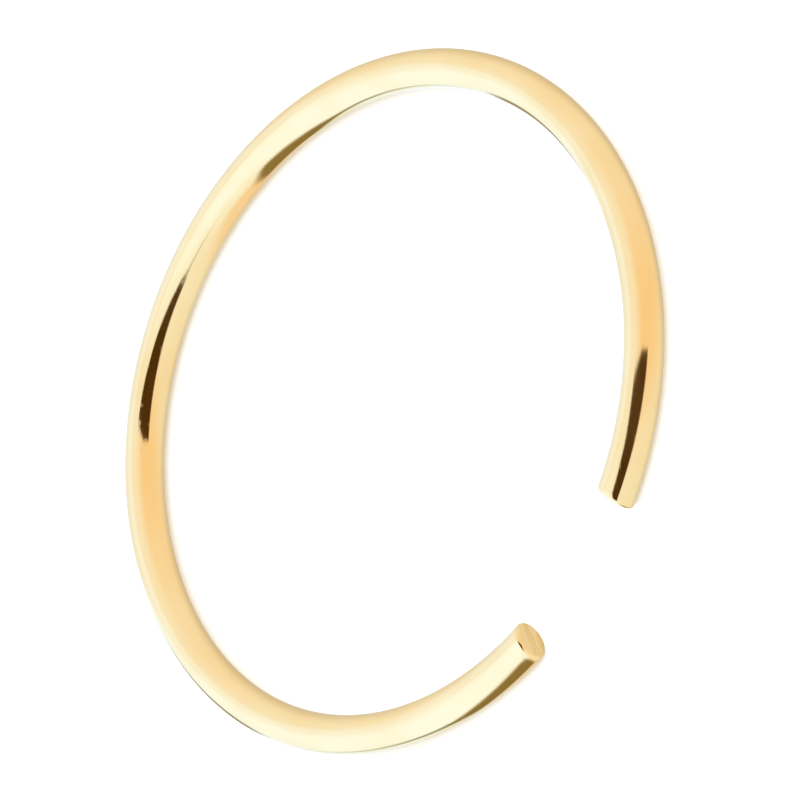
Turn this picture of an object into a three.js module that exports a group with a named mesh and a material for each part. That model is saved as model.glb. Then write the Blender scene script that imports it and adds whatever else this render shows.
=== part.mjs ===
// A plain open nose ring: one length of round gold wire, bent round a circle, whose two ends face each
// other across a narrow opening. One slanted cut made both ends, so they would meet flat if the ring were
// pinched shut, and their rims are softened. Millimetres, +Z up. The ring lies on its side on the plane
// z = 0, with its centre over the origin and its opening towards -Y.
import * as THREE from "three";

// Driving dimensions.
const WIRE_DIAMETER = 0.5;
const INNER_DIAMETER = 8;
const OPENING_DEG = 28.1; // from end to end along the wire's centreline
const CUT_DEG = 15; // how far both cuts lean from square: at the +X end the outer side is the longer
const RIM_RADIUS = 0.045; // the soft edge round each cut face
const CUT_FADE = 1.2; // the length of wire over which the rows of facets turn from slanted to square

// How finely the wire is faceted.
const SIDES = 20; // an even number, so that one flat side lies along the bottom
const STEPS = 96; // along the wire
const RIM_STEPS = 3; // round each soft edge

// Worked out from the above.
const wireRadius = WIRE_DIAMETER / 2;
const bendRadius = INNER_DIAMETER / 2 + wireRadius; // of the wire's centreline
const openingAngle = THREE.MathUtils.degToRad(OPENING_DEG);
const rightEndAngle = -Math.PI / 2 + openingAngle / 2; // round from +X, where the wire starts
const wireLength = (2 * Math.PI - openingAngle) * bendRadius;
const slant = THREE.MathUtils.degToRad(CUT_DEG);
const cornerRadius = wireRadius / Math.cos(Math.PI / SIDES); // its flat sides lie wireRadius from the axis

const gold = new THREE.MeshStandardMaterial({
  color: 0xf0c878,
  roughness: 0.12,
  metalness: 1,
});

// Half of the straight wire's outline, from the middle of one cut face to the middle of the other.
function wireProfile() {
  const faceRadius = cornerRadius - RIM_RADIUS;
  const points = [new THREE.Vector2(0, 0)];
  for (let i = 0; i <= RIM_STEPS; i++) {
    const turn = (i / RIM_STEPS) * (Math.PI / 2);
    points.push(
      new THREE.Vector2(
        faceRadius + RIM_RADIUS * Math.sin(turn),
        RIM_RADIUS * (1 - Math.cos(turn)),
      ),
    );
  }
  const straight = wireLength - 2 * RIM_RADIUS;
  for (let i = 1; i < STEPS; i++)
    points.push(
      new THREE.Vector2(cornerRadius, RIM_RADIUS + (i / STEPS) * straight),
    );
  for (let i = RIM_STEPS; i >= 0; i--) {
    const turn = (i / RIM_STEPS) * (Math.PI / 2);
    points.push(
      new THREE.Vector2(
        faceRadius + RIM_RADIUS * Math.sin(turn),
        wireLength - RIM_RADIUS * (1 - Math.cos(turn)),
      ),
    );
  }
  points.push(new THREE.Vector2(0, wireLength));
  return points;
}

// The angle, from an end's own place on the centreline, at which a circle of this radius about the
// ring's centre meets the flat cut.
function cutAngle(radius) {
  return Math.asin((bendRadius * Math.sin(slant)) / radius) - slant;
}

// Bends a straight wire, which runs along Y from 0, round the ring's centre. X becomes the distance
// outwards from the centreline, and Y the angle round the ring. Near each end the rows of points lean,
// so that the end face lies flat in its slanted cut.
function bendRoundRing(geometry) {
  const position = geometry.getAttribute("position");
  for (let i = 0; i < position.count; i++) {
    const along = position.getY(i);
    const radius = bendRadius + position.getX(i);
    const fromEnd = Math.min(along, wireLength - along);
    const lean = Math.max(0, 1 - fromEnd / CUT_FADE);
    const angle =
      rightEndAngle + along / bendRadius + lean * cutAngle(radius);
    position.setXYZ(
      i,
      radius * Math.cos(angle),
      radius * Math.sin(angle),
      position.getZ(i),
    );
  }
  geometry.computeVertexNormals();
  return geometry;
}

// The ring, its centreline at the height where its lowest side touches z = 0.
function makeHoop() {
  const straightWire = new THREE.LatheGeometry(
    wireProfile(),
    SIDES,
    Math.PI / SIDES,
  );
  const hoop = new THREE.Mesh(bendRoundRing(straightWire), gold);
  hoop.name = "hoop";
  hoop.position.z = wireRadius;
  return hoop;
}

const noseRing = new THREE.Group();
noseRing.add(makeHoop());

export default noseRing;
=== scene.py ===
"""A plain open nose ring of round gold wire, lying on its side on a pale surface in soft studio light.

The ring is one length of wire bent round a circle. Its wire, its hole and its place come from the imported
frame, and only what a box can't tell is named here: how wide the opening is and how its two ends are cut.
Lengths are in metres and angles in degrees unless a comment says otherwise.
"""

import logging
import math
from dataclasses import dataclass
from typing import Mapping, Optional, Sequence, Union

import bpy
import numpy as np
from mathutils import Matrix, Vector


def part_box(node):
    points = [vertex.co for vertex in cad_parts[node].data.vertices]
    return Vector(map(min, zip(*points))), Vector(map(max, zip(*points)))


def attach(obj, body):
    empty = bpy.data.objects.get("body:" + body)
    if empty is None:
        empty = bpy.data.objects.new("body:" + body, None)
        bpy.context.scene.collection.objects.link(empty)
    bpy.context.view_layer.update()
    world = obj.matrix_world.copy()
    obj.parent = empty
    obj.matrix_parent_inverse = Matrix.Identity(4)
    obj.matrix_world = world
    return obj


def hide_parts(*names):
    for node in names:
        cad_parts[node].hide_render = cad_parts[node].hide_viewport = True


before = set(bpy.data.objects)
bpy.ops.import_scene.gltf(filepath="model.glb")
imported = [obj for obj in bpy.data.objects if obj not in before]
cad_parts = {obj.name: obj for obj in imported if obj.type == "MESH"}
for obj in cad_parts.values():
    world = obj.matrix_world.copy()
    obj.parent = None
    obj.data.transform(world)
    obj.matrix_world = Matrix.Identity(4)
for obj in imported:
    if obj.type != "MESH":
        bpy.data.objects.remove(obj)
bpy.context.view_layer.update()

LOG = logging.getLogger("nose_ring")
MM = 0.001
STRAIGHT = "straight"  # mesh attribute: where a point lay on the wire before it was bent, in millimetres
CUT = "cut"  # mesh attribute: 1 on a cut end face, 0 along the wire

# The sockets of a Mix node that works on colours.
MIX_SHARE = 0
MIX_FIRST = 6
MIX_SECOND = 7
MIX_RESULT = 2

Triple = tuple[float, float, float]
Colour = Triple
Operand = Union["Value", float]
Setting = Union[str, bool]
Input = Union["Value", bpy.types.NodeSocket, float, Sequence[float]]


def smoothstep(share: np.ndarray) -> np.ndarray:
    """Three times the square less twice the cube of the share, which is first held between 0 and 1."""
    held = np.clip(share, 0.0, 1.0)
    return held * held * (3.0 - 2.0 * held)


def ring_faces(rings: int, columns: int, closed: bool) -> list[list[int]]:
    """Joins rings of points by quads, and point 0 to the first ring by a fan.

    Args:
        rings: How many rings there are. Their points follow point 0, ring by ring.
        columns: How many points are on each ring.
        closed: Whether a fan also joins the last ring to one more point, which follows them all.

    Returns:
        The faces, each as the numbers of its points.
    """
    index = 1 + np.arange(rings * columns).reshape(rings, columns)
    beside = np.roll(index, -1, axis=1)
    quads = np.stack([index[:-1], index[1:], beside[1:], beside[:-1]], axis=-1).reshape(-1, 4)
    first_fan = np.stack([np.zeros(columns, int), index[0], beside[0]], axis=-1)
    faces = quads.tolist() + first_fan.tolist()
    if closed:
        last_point = np.full(columns, index[-1, -1] + 1)
        faces += np.stack([last_point, beside[-1], index[-1]], axis=-1).tolist()
    return faces


def add_object(name: str, data: Union[bpy.types.Mesh, bpy.types.Camera]) -> bpy.types.Object:
    """Puts a new object in the scene, at the origin.

    Args:
        name: The object's name.
        data: Its mesh or camera.

    Returns:
        The object.
    """
    made = bpy.data.objects.new(name, data)
    bpy.context.scene.collection.objects.link(made)
    return made


# ---------------------------------------------------------------------------------------------------
# Shader expressions
# ---------------------------------------------------------------------------------------------------


class Value:
    """One number socket of a shader, with Python's operators. Each operator adds a Math node."""

    def __init__(self, nodes: "Nodes", socket: bpy.types.NodeSocket) -> None:
        """Wraps a socket.

        Args:
            nodes: The node tree that the socket belongs to.
            socket: The output socket that holds the number.
        """
        self.nodes = nodes
        self.socket = socket

    def __add__(self, other: Operand) -> "Value":
        """This plus the other."""
        return self.nodes.math("ADD", self, other)

    def __radd__(self, other: Operand) -> "Value":
        """The other plus this."""
        return self.nodes.math("ADD", other, self)

    def __sub__(self, other: Operand) -> "Value":
        """This less the other."""
        return self.nodes.math("SUBTRACT", self, other)

    def __rsub__(self, other: Operand) -> "Value":
        """The other less this."""
        return self.nodes.math("SUBTRACT", other, self)

    def __mul__(self, other: Operand) -> "Value":
        """This times the other."""
        return self.nodes.math("MULTIPLY", self, other)

    def __rmul__(self, other: Operand) -> "Value":
        """The other times this."""
        return self.nodes.math("MULTIPLY", other, self)

    def step(self, low: float, high: float) -> "Value":
        """A soft step: 0 up to low, 1 from high on, and a smooth curve between.

        Args:
            low: The value at which the step leaves 0.
            high: The value at which it reaches 1. Below low, it turns the step round.

        Returns:
            The step, from 0 to 1.
        """
        turned = high < low
        ends = (high, low) if turned else (low, high)
        node = self.nodes.node(
            "ShaderNodeMapRange",
            {"interpolation_type": "SMOOTHSTEP", "clamp": True},
            {"Value": self, "From Min": ends[0], "From Max": ends[1]},
        )
        stepped = self.nodes.value(node, "Result")
        return 1.0 - stepped if turned else stepped


class Nodes:
    """The node tree of one material or of the world, filled by calls that read as the shader's formula."""

    def __init__(self, tree: bpy.types.NodeTree) -> None:
        """Takes over a tree and empties it.

        Args:
            tree: The node tree to fill.
        """
        self.tree = tree
        tree.nodes.clear()

    def node(
        self,
        kind: str,
        settings: Optional[Mapping[str, Setting]] = None,
        inputs: Optional[Mapping[Union[str, int], Input]] = None,
    ) -> bpy.types.Node:
        """Adds any node: its settings are set first, then its sockets are given values or links.

        Args:
            kind: The node's type.
            settings: Its properties, by name.
            inputs: What goes into its sockets, by their name or number.

        Returns:
            The new node.
        """
        made = self.tree.nodes.new(kind)
        for name, setting in (settings or {}).items():
            setattr(made, name, setting)
        for key, given in (inputs or {}).items():
            socket = made.inputs[key]
            if isinstance(given, Value):
                self.tree.links.new(given.socket, socket)
            elif isinstance(given, bpy.types.NodeSocket):
                self.tree.links.new(given, socket)
            else:
                socket.default_value = given
        return made

    def value(self, node: bpy.types.Node, output: Union[str, int]) -> Value:
        """One number output of a node, ready for an expression."""
        return Value(self, node.outputs[output])

    def math(self, operation: str, *operands: Operand) -> Value:
        """One Math node on its numbers."""
        node = self.node("ShaderNodeMath", {"operation": operation}, dict(enumerate(operands)))
        return self.value(node, 0)

    def vector(self, operation: str, *operands: Input) -> bpy.types.Node:
        """One Vector Math node on its vectors."""
        return self.node("ShaderNodeVectorMath", {"operation": operation}, dict(enumerate(operands)))

    def mix(self, share: Input, first: Input, second: Input) -> bpy.types.NodeSocket:
        """A colour that goes from the first to the second as share goes from 0 to 1."""
        inputs = {MIX_SHARE: share, MIX_FIRST: _opaque(first), MIX_SECOND: _opaque(second)}
        return self.node("ShaderNodeMix", {"data_type": "RGBA"}, inputs).outputs[MIX_RESULT]

    def drawn_out(self, place: Input, turn: Triple, lengths: Triple) -> bpy.types.NodeSocket:
        """Coordinates on which a pattern comes out turned, and that much longer each way.

        Args:
            place: The coordinates to change.
            turn: How far the pattern turns about each axis, in degrees.
            lengths: How many times as long it gets along each of its own axes.

        Returns:
            The changed coordinates.
        """
        rotation = [math.radians(angle) for angle in turn]
        inputs = {"Vector": place, "Rotation": rotation, "Scale": lengths}
        return self.node("ShaderNodeMapping", {"vector_type": "TEXTURE"}, inputs).outputs[0]

    def noise(self, place: Input, scale: float, detail: float) -> Value:
        """A fractal noise from 0 to 1, with scale lumps to a unit of place and detail finer layers."""
        inputs = {"Vector": place, "Scale": scale, "Detail": detail}
        return self.value(self.node("ShaderNodeTexNoise", inputs=inputs), 0)


def _opaque(given: Input) -> Input:
    """A plain colour with its alpha added, or a link as it is."""
    return (*given, 1.0) if isinstance(given, tuple) else given


def blank_material(name: str) -> tuple[bpy.types.Material, Nodes]:
    """Makes a material with nothing in it yet.

    Args:
        name: The material's name.

    Returns:
        The material and its node tree.
    """
    made = bpy.data.materials.new(name)
    made.use_nodes = True
    return made, Nodes(made.node_tree)


# ---------------------------------------------------------------------------------------------------
# Finishes
# ---------------------------------------------------------------------------------------------------


@dataclass(frozen=True)
class Grain:
    """One pattern of lumps or lines, worked out on the straight wire.

    scale is how many lumps go into a millimetre, detail how many finer layers they have, lengths how many
    times as long they are along (outward, along, up), and turn how far that direction leans, in degrees.
    low and high are the values of the noise at which the pattern starts and is full.
    """

    scale: float
    detail: float
    low: float
    high: float
    lengths: Triple = (1.0, 1.0, 1.0)
    turn: Triple = (0.0, 0.0, 0.0)

    def pattern(self, nodes: Nodes, place: Input) -> Value:
        """The pattern at each place, from 0 to 1."""
        drawn = nodes.drawn_out(place, self.turn, self.lengths)
        return nodes.noise(drawn, self.scale, self.detail).step(self.low, self.high)


@dataclass(frozen=True)
class PolishedGold:
    """Drawn and polished gold wire, with cut ends that were only filed.

    Patterns are worked out on the straight wire, in millimetres, so they follow it round the bend. The
    wire has broad soft patches of warmer colour and of haze, fine lines left by drawing it, a few hairline
    scratches from wear, and faint dents that make what it mirrors waver. A cut has file marks instead.
    """

    gold: Colour = (0.98, 0.70, 0.31)
    warm_gold: Colour = (0.97, 0.67, 0.28)
    edge_tint: Colour = (0.96, 0.93, 0.80)  # what gold keeps of the light that it mirrors at a glance
    cut_gold: Colour = (1.00, 0.73, 0.35)
    deep_cut_gold: Colour = (0.86, 0.60, 0.21)
    polish: float = 0.06  # roughness of the polished wire
    haze: float = 0.04  # how much rougher the hazy patches are
    scratched: float = 0.10  # how much rougher a scratch is
    filed: float = 0.26  # roughness of a cut
    file_grit: float = 0.14  # how much rougher the file marks are
    patches: Grain = Grain(scale=1.1, detail=3.0, low=0.40, high=0.72)
    haze_patches: Grain = Grain(2.3, 4.0, 0.42, 0.70, lengths=(1.0, 2.5, 1.0))
    drawing_lines: Grain = Grain(34.0, 2.0, 0.30, 0.75, lengths=(1.0, 40.0, 1.0))
    scratches: Grain = Grain(17.0, 1.0, 0.66, 0.70, lengths=(1.0, 26.0, 1.0), turn=(14.0, 0.0, 24.0))
    dents: Grain = Grain(2.6, 1.0, 0.20, 0.80, lengths=(1.0, 1.8, 1.0))
    file_marks: Grain = Grain(15.0, 4.0, 0.40, 0.66, lengths=(8.0, 1.0, 1.0), turn=(0.0, 10.0, 0.0))
    line_depth: float = 0.16e-6  # how far the drawing lines stand out
    scratch_depth: float = 0.08e-6
    dent_depth: float = 1.2e-6
    file_depth: float = 2.6e-6  # how far the ridges between the file marks stand out

    def material(self) -> bpy.types.Material:
        """Makes the finish.

        Returns:
            The material, which reads the attributes STRAIGHT and CUT of the mesh that it is put on.
        """
        made, nodes = blank_material("polished_gold")
        place = nodes.node("ShaderNodeAttribute", {"attribute_name": STRAIGHT}).outputs["Vector"]
        cut = nodes.value(nodes.node("ShaderNodeAttribute", {"attribute_name": CUT}), "Fac")
        wire = 1.0 - cut
        lines = self.drawing_lines.pattern(nodes, place)
        scratches = self.scratches.pattern(nodes, place)
        marks = self.file_marks.pattern(nodes, place)

        wire_colour = nodes.mix(self.patches.pattern(nodes, place), self.gold, self.warm_gold)
        cut_colour = nodes.mix(marks, self.cut_gold, self.deep_cut_gold)
        wire_roughness = (
            self.polish
            + self.haze * self.haze_patches.pattern(nodes, place)
            + self.scratched * scratches
        )
        cut_roughness = self.filed + self.file_grit * marks
        height = (
            (lines * self.line_depth - scratches * self.scratch_depth) * wire
            + self.dents.pattern(nodes, place) * self.dent_depth * wire
            + marks * self.file_depth * cut
        )
        # A strength and a distance of 1 take the height as it is, in metres.
        bump = nodes.node("ShaderNodeBump", inputs={"Strength": 1.0, "Distance": 1.0, "Height": height})
        surface = nodes.node(
            "ShaderNodeBsdfPrincipled",
            inputs={
                "Base Color": nodes.mix(cut, wire_colour, cut_colour),
                "Metallic": 1.0,
                "Specular Tint": (*self.edge_tint, 1.0),
                "Roughness": wire_roughness * wire + cut_roughness * cut,
                "Normal": bump.outputs["Normal"],
            },
        )
        nodes.node("ShaderNodeOutputMaterial", inputs={"Surface": surface.outputs["BSDF"]})
        return made


@dataclass(frozen=True)
class MattWhite:
    """The pale surface that the ring lies on."""

    colour: Colour = (0.86, 0.86, 0.85)
    roughness: float = 0.4

    def material(self) -> bpy.types.Material:
        """Makes the finish.

        Returns:
            The material.
        """
        made, nodes = blank_material("matt_white")
        inputs = {"Color": (*self.colour, 1.0), "Roughness": self.roughness}
        surface = nodes.node("ShaderNodeBsdfDiffuse", inputs=inputs)
        nodes.node("ShaderNodeOutputMaterial", inputs={"Surface": surface.outputs["BSDF"]})
        return made


# ---------------------------------------------------------------------------------------------------
# The ring
# ---------------------------------------------------------------------------------------------------


@dataclass
class Hoop:
    """The ring: one length of round wire between two slanted cuts, bent round a circle.

    One slanted cut made both ends, so at the +X end the outer side is the longer and at the -X end the
    inner side is.
    """

    wire_radius: float
    bend_radius: float
    opening: float = 28.1  # from end to end along the centreline
    opening_faces: float = -90.0  # the way the middle of the opening faces, round from +X
    slant: float = 15.0  # how far the cuts lean from square
    rim_radius: float = 0.045 * MM  # the soft edge round each cut
    filed_turn: float = 75.0  # how far round the soft edge the file marks reach
    lean_length: float = 1.2 * MM  # how far from an end the rows of points still lean with its cut
    face_rows: int = 12
    rim_rows: int = 8
    wire_rows: int = 560
    columns: int = 128

    @classmethod
    def from_frame(cls) -> "Hoop":
        """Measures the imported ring: its height is the wire, and its width the wire and the bend.

        Returns:
            A hoop of that size.
        """
        low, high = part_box("hoop")
        wire_radius = (high.z - low.z) / 2
        return cls(wire_radius, (high.x - low.x) / 2 - wire_radius)

    def length(self) -> float:
        """The wire's length along its centreline."""
        return (math.tau - math.radians(self.opening)) * self.bend_radius

    def turn_at_cut(self, radius: np.ndarray) -> np.ndarray:
        """The angle from an end's place on the centreline at which a circle meets the flat cut.

        It is the arcsine of the bend radius times the slant's sine over the circle's radius, less the
        slant.

        Args:
            radius: The circles' radii about the ring's centre.

        Returns:
            The angles, in radians, positive the way the wire runs.
        """
        slant = math.radians(self.slant)
        return np.arcsin(self.bend_radius * math.sin(slant) / radius) - slant

    def rows(self) -> tuple[np.ndarray, np.ndarray, np.ndarray]:
        """The rows of points from one face's middle to the other's.

        Across a cut the section's radius grows evenly, round a soft edge it follows a quarter circle,
        and along the wire it stays the same.

        Returns:
            For each row, how far along the wire it lies, its section's radius, and 1 on a cut face, 0 on
            the wire.
        """
        face_radius = self.wire_radius - self.rim_radius
        spread = np.linspace(0.0, 1.0, self.face_rows + 1)[:-1] * face_radius
        turn = np.linspace(0.0, math.pi / 2, self.rim_rows)
        rim_along = self.rim_radius * (1.0 - np.cos(turn))
        rim_spread = face_radius + self.rim_radius * np.sin(turn)
        along = np.linspace(self.rim_radius, self.length() - self.rim_radius, self.wire_rows + 1)[1:-1]
        end_along = np.concatenate([np.zeros_like(spread), rim_along])
        end_spread = np.concatenate([spread, rim_spread])
        rim_cut = 1.0 - smoothstep(turn / math.radians(self.filed_turn))
        end_cut = np.concatenate([np.ones_like(spread), rim_cut])
        return (
            np.concatenate([end_along, along, self.length() - end_along[::-1]]),
            np.concatenate([end_spread, np.full_like(along, self.wire_radius), end_spread[::-1]]),
            np.concatenate([end_cut, np.zeros_like(along), end_cut[::-1]]),
        )

    def bend(self, along: np.ndarray, outward: np.ndarray, up: np.ndarray) -> np.ndarray:
        """Bends the straight wire round the ring's centre.

        A point's radius is the bend radius plus its distance outwards. Its angle is the right end's,
        plus its way along over the bend radius, plus the cut's turn at that radius, which fades to
        nothing within the lean length of either end.

        Args:
            along: How far along the wire each point lies.
            outward: Its distance outwards from the centreline.
            up: Its height over the centreline.

        Returns:
            The points, with the centreline one wire radius over the surface that the ring lies on.
        """
        radius = self.bend_radius + outward
        from_end = np.minimum(along, self.length() - along)
        lean = np.clip(1.0 - from_end / self.lean_length, 0.0, 1.0)
        angle = (
            math.radians(self.opening_faces + self.opening / 2)
            + along / self.bend_radius
            + lean * self.turn_at_cut(radius)
        )
        return np.stack([radius * np.cos(angle), radius * np.sin(angle), up + self.wire_radius], axis=-1)

    def build(self) -> bpy.types.Object:
        """Makes the wire's mesh: rows of points from pole to pole, joined into quads and two fans.

        Returns:
            The ring's object, at the origin.
        """
        along, spread, cut = self.rows()
        inner = slice(1, -1)
        around = np.linspace(0.0, math.tau, self.columns, endpoint=False)
        grid_along = np.repeat(along[inner, None], self.columns, axis=1)
        outward = spread[inner, None] * np.cos(around)[None, :]
        up = spread[inner, None] * np.sin(around)[None, :]
        straight = np.concatenate(
            [
                [[0.0, along[0], 0.0]],
                np.stack([outward, grid_along, up], axis=-1).reshape(-1, 3),
                [[0.0, along[-1], 0.0]],
            ]
        )
        points = self.bend(straight[:, 1], straight[:, 0], straight[:, 2])
        cut_share = np.concatenate([[cut[0]], np.repeat(cut[inner], self.columns), [cut[-1]]])
        faces = ring_faces(len(along[inner]), self.columns, closed=True)

        mesh = bpy.data.meshes.new("hoop_wire")
        mesh.from_pydata(points.tolist(), [], faces)
        mesh.shade_smooth()
        mesh.attributes.new(STRAIGHT, "FLOAT_VECTOR", "POINT").data.foreach_set(
            "vector", (straight / MM).astype(np.float32).ravel()
        )
        mesh.attributes.new(CUT, "FLOAT", "POINT").data.foreach_set(
            "value", cut_share.astype(np.float32)
        )
        mesh.update()
        return add_object("hoop_wire", mesh)

    def dress(self, wire: bpy.types.Object) -> bpy.types.Object:
        """Gives the wire its finish and its place in the frame.

        Args:
            wire: The object that build made.

        Returns:
            The same object.
        """
        wire.data.materials.append(PolishedGold().material())
        wire.visible_glossy = False  # in its own mirror it would draw a thin orange line
        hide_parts("hoop")
        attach(wire, "root")
        return wire


# ---------------------------------------------------------------------------------------------------
# The studio
# ---------------------------------------------------------------------------------------------------


@dataclass(frozen=True)
class Viewpoint:
    """Where the camera stands: azimuth 0 looks along +Y, and roll turns the camera about its own axis."""

    azimuth: float = 18.98
    elevation: float = 44.85
    roll: float = 73.4
    distance: float = 32.37  # from the middle of the ring, in bend radii
    aim_right: float = 0.0316  # how far to the picture's right of that middle it looks, in bend radii
    near: float = 1.0  # where its sight starts, in bend radii
    far: float = 1000.0  # where its sight ends, in bend radii
    lens: float = 496.0  # in millimetres, as the sensor
    sensor_width: float = 36.0

    def axes(self) -> tuple[Vector, Vector, Vector]:
        """Works out which way the camera is turned.

        Returns:
            Its right, up and backward directions.
        """
        turn = math.radians(self.azimuth)
        rise = math.radians(self.elevation)
        roll = math.radians(self.roll)
        level_back = Vector((math.sin(turn), -math.cos(turn), 0.0))
        back = level_back * math.cos(rise) + Vector((0.0, 0.0, math.sin(rise)))
        level = Vector((math.cos(turn), math.sin(turn), 0.0))
        upright = back.cross(level)
        right = level * math.cos(roll) - upright * math.sin(roll)
        return right, back.cross(right), back

    def make_camera(self, middle: Vector, bend_radius: float) -> bpy.types.Object:
        """Puts the camera in its place and makes it the scene's.

        Args:
            middle: The middle of the ring.
            bend_radius: The radius of the wire's centreline.

        Returns:
            The camera.
        """
        right, up, back = self.axes()
        data = bpy.data.cameras.new("camera")
        data.lens = self.lens
        data.sensor_width = self.sensor_width
        data.clip_start = self.near * bend_radius
        data.clip_end = self.far * bend_radius
        camera = add_object("camera", data)
        place = middle + (right * self.aim_right + back * self.distance) * bend_radius
        turned = Matrix((right, up, back)).transposed().to_4x4()
        camera.matrix_world = Matrix.Translation(place) @ turned
        bpy.context.scene.camera = camera
        return camera


@dataclass(frozen=True)
class Edge:
    """One straight edge of a card, in the mirror-ball picture.

    facing is the way that the edge's outer side faces, in degrees anticlockwise from the picture's
    right, reach is how far it lies from the ball's middle that way, in ball radii, and blur is how wide
    it fades.
    """

    facing: float
    reach: float
    blur: float

    def inside(self, across: Value, upward: Value) -> Value:
        """Which side of the edge a place on the ball is on.

        Args:
            across: The place's way to the right of the ball's middle, in ball radii.
            upward: Its way up from the middle.

        Returns:
            1 on the card's side of the edge and 0 beyond it, with a soft step between.
        """
        facing = math.radians(self.facing)
        outward = across * math.cos(facing) + upward * math.sin(facing)
        return outward.step(self.reach + self.blur / 2, self.reach - self.blur / 2)


@dataclass(frozen=True)
class Card:
    """A soft box or a dark flag of the studio, by what shows of it in a mirror ball beside the ring."""

    colour: Colour
    edges: tuple[Edge, ...]

    def share(self, across: Value, upward: Value) -> Value:
        """How much of the card shows at a place on the ball: the product of its edges' soft steps."""
        steps = [edge.inside(across, upward) for edge in self.edges]
        return math.prod(steps[1:], start=steps[0])


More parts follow.
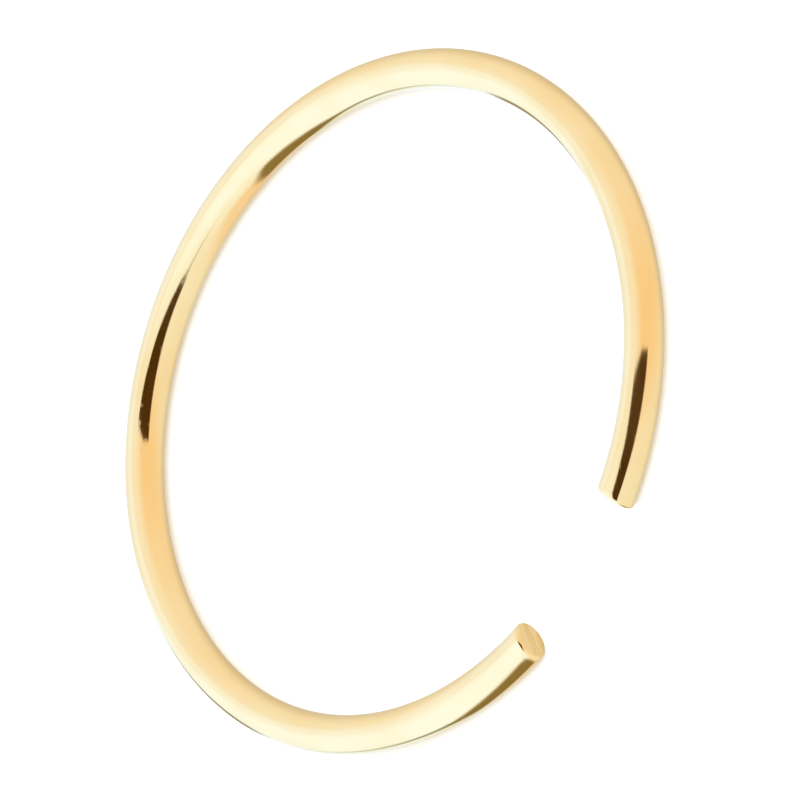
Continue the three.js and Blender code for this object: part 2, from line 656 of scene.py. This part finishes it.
@dataclass(frozen=True)
class Studio:
    """A white room for everything that is matt, and a tent of cards for what the polished gold mirrors."""

    view: Viewpoint
    room: Colour = (1.0, 1.0, 1.0)
    room_light: float = 2.2
    dimming: float = 0.16  # how much darker the tent is behind the ring, which the wire's sides mirror
    dim_lean: float = 0.10  # how much more that is towards the upper right
    dim_from: float = 0.55  # square of the distance from the ball's middle at which that starts
    # The tent's own colour, without cards, at each corner of the ball's picture.
    top_left: Colour = (0.97, 1.04, 1.20)
    top_right: Colour = (0.93, 0.90, 0.90)
    low_left: Colour = (1.00, 1.30, 2.10)
    low_right: Colour = (0.97, 1.10, 1.33)
    # Each card covers the ones before it.
    cards: tuple[Card, ...] = (
        Card(  # a warm wall behind
            (0.98, 0.85, 0.72),
            (
                Edge(93.0, 0.5, 0.45),
                Edge(180.0, 0.25, 0.4),
                Edge(0.0, 0.7, 0.8),
                Edge(-90.0, -0.1, 0.26),
            ),
        ),
        Card(  # warm cloth under the table's edge
            (0.97, 0.92, 0.95),
            (
                Edge(90.0, -0.46, 0.18),
                Edge(180.0, -0.15, 0.2),
                Edge(-90.0, 0.8, 0.3),
                Edge(0.0, 0.75, 0.3),
            ),
        ),
        Card(  # the soft spill round the big soft box
            (1.0, 1.25, 1.8),
            (
                Edge(59.0, -0.1, 0.22),
                Edge(20.0, -0.07, 0.28),
                Edge(95.0, 0.22, 0.12),
                Edge(130.0, 0.51, 0.09),
            ),
        ),
        Card(  # the big soft box
            (1.04, 1.39, 2.35),
            (
                Edge(59.0, -0.2, 0.16),
                Edge(20.0, -0.26, 0.22),
                Edge(130.0, 0.51, 0.09),
            ),
        ),
        Card(  # a second soft box
            (0.99, 1.25, 1.95),
            (Edge(14.0, -0.6, 0.1), Edge(-110.0, 0.3, 0.3)),
        ),
        Card(  # the near rail of the tent
            (0.33, 0.45, 0.50),
            (
                Edge(90.0, -0.83, 0.04),
                Edge(-90.0, 0.885, 0.04),
                Edge(180.0, 0.3, 0.5),
                Edge(0.0, 0.3, 0.2),
            ),
        ),
        Card(  # the left rail of the tent
            (0.40, 0.40, 0.36),
            (Edge(40.0, -0.945, 0.03),),
        ),
        Card(  # the table's edge
            (0.28, 0.235, 0.12),
            (
                Edge(68.0, -0.49, 0.06),
                Edge(188.0, 0.08, 0.14),
                Edge(-45.0, 0.86, 0.08),
                Edge(-90.0, 0.875, 0.04),
            ),
        ),
        Card(  # the dim slit under the camera
            (0.55, 0.62, 0.5),
            (
                Edge(-16.0, 0.05, 0.1),
                Edge(185.0, 0.07, 0.08),
                Edge(-100.0, 0.3, 0.16),
                Edge(93.0, 0.1, 0.1),
            ),
        ),
        Card(  # the camera and its dark cloth
            (0.068, 0.032, 0.001),
            (
                Edge(95.5, 0.2485, 0.012),
                Edge(87.0, 0.2393, 0.012),
                Edge(-17.0, 0.115, 0.05),
                Edge(-110.0, 0.13, 0.05),
                Edge(-137.0, 0.146, 0.03),
            ),
        ),
    )

    @staticmethod
    def way_over(place: Value) -> Value:
        """How far a place lies from one side of the ball, at -1, to the other, at 1: from 0 to 1."""
        return (place + 1.0) * 0.5

    def light(self) -> None:
        """Fills the world: matt surfaces see an even white room, and mirrors see the tent.

        A direction's place on the ball is the half-way vector between it and the way to the camera,
        taken along the camera's right and up.
        """
        world = bpy.data.worlds.new("studio")
        bpy.context.scene.world = world
        world.use_nodes = True
        nodes = Nodes(world.node_tree)
        right, up, back = self.view.axes()
        direction = nodes.node("ShaderNodeTexCoord").outputs["Generated"]
        between = nodes.vector("ADD", direction, tuple(back)).outputs[0]
        half_way = nodes.vector("NORMALIZE", between).outputs[0]
        across = nodes.value(nodes.vector("DOT_PRODUCT", half_way, tuple(right)), "Value")
        upward = nodes.value(nodes.vector("DOT_PRODUCT", half_way, tuple(up)), "Value")
        to_right = self.way_over(across)
        colour = nodes.mix(
            self.way_over(upward),
            nodes.mix(to_right, self.low_left, self.low_right),
            nodes.mix(to_right, self.top_left, self.top_right),
        )
        for card in self.cards:
            colour = nodes.mix(card.share(across, upward), colour, card.colour)
        behind = (across * across + upward * upward).step(self.dim_from, 1.0)
        dimmed = behind * (self.dimming + self.dim_lean * (across + upward))
        tent_inputs = {"Color": colour, "Strength": 1.0 - dimmed}
        room_inputs = {"Color": (*self.room, 1.0), "Strength": self.room_light}
        tent = nodes.node("ShaderNodeBackground", inputs=tent_inputs).outputs[0]
        room = nodes.node("ShaderNodeBackground", inputs=room_inputs).outputs[0]
        mirrored = nodes.node("ShaderNodeLightPath").outputs["Is Glossy Ray"]
        shown = nodes.node("ShaderNodeMixShader", inputs={0: mirrored, 1: room, 2: tent})
        nodes.node("ShaderNodeOutputWorld", inputs={"Surface": shown.outputs[0]})

    def lay_floor(self, radius: float = 0.6, rings: int = 24, spokes: int = 96) -> bpy.types.Object:
        """Makes the floor, a flat disc whose rings widen with the square of their number.

        Args:
            radius: How far it reaches.
            rings: How many rings it has.
            spokes: How many points are on each ring.

        Returns:
            The floor.
        """
        reach = radius * (np.arange(1, rings + 1) / rings) ** 2
        around = np.linspace(0.0, math.tau, spokes, endpoint=False)
        flat = np.stack(
            [
                reach[:, None] * np.cos(around),
                reach[:, None] * np.sin(around),
                np.zeros((rings, spokes)),
            ],
            axis=-1,
        ).reshape(-1, 3)
        points = np.concatenate([[[0.0, 0.0, 0.0]], flat])
        mesh = bpy.data.meshes.new("floor")
        mesh.from_pydata(points.tolist(), [], ring_faces(rings, spokes, closed=False))
        floor = add_object("floor", mesh)
        floor.data.materials.append(MattWhite().material())
        floor.visible_glossy = False  # the gold mirrors the tent in its place
        return floor


def main() -> None:
    """Builds the camera, the ring, the floor and the light in turn, and reports each piece."""
    logging.basicConfig(level=logging.INFO, format="%(message)s")
    hoop = Hoop.from_frame()
    view = Viewpoint()
    view.make_camera(Vector((0.0, 0.0, hoop.wire_radius)), hoop.bend_radius)
    wire = hoop.dress(hoop.build())
    LOG.info("%s: %d points, %d faces", wire.name, len(wire.data.vertices), len(wire.data.polygons))
    studio = Studio(view)
    floor = studio.lay_floor()
    LOG.info("%s: %d faces", floor.name, len(floor.data.polygons))
    studio.light()
    bpy.context.scene.view_settings.view_transform = "Standard"  # so that white comes out white


if __name__ == "__main__":
    main()
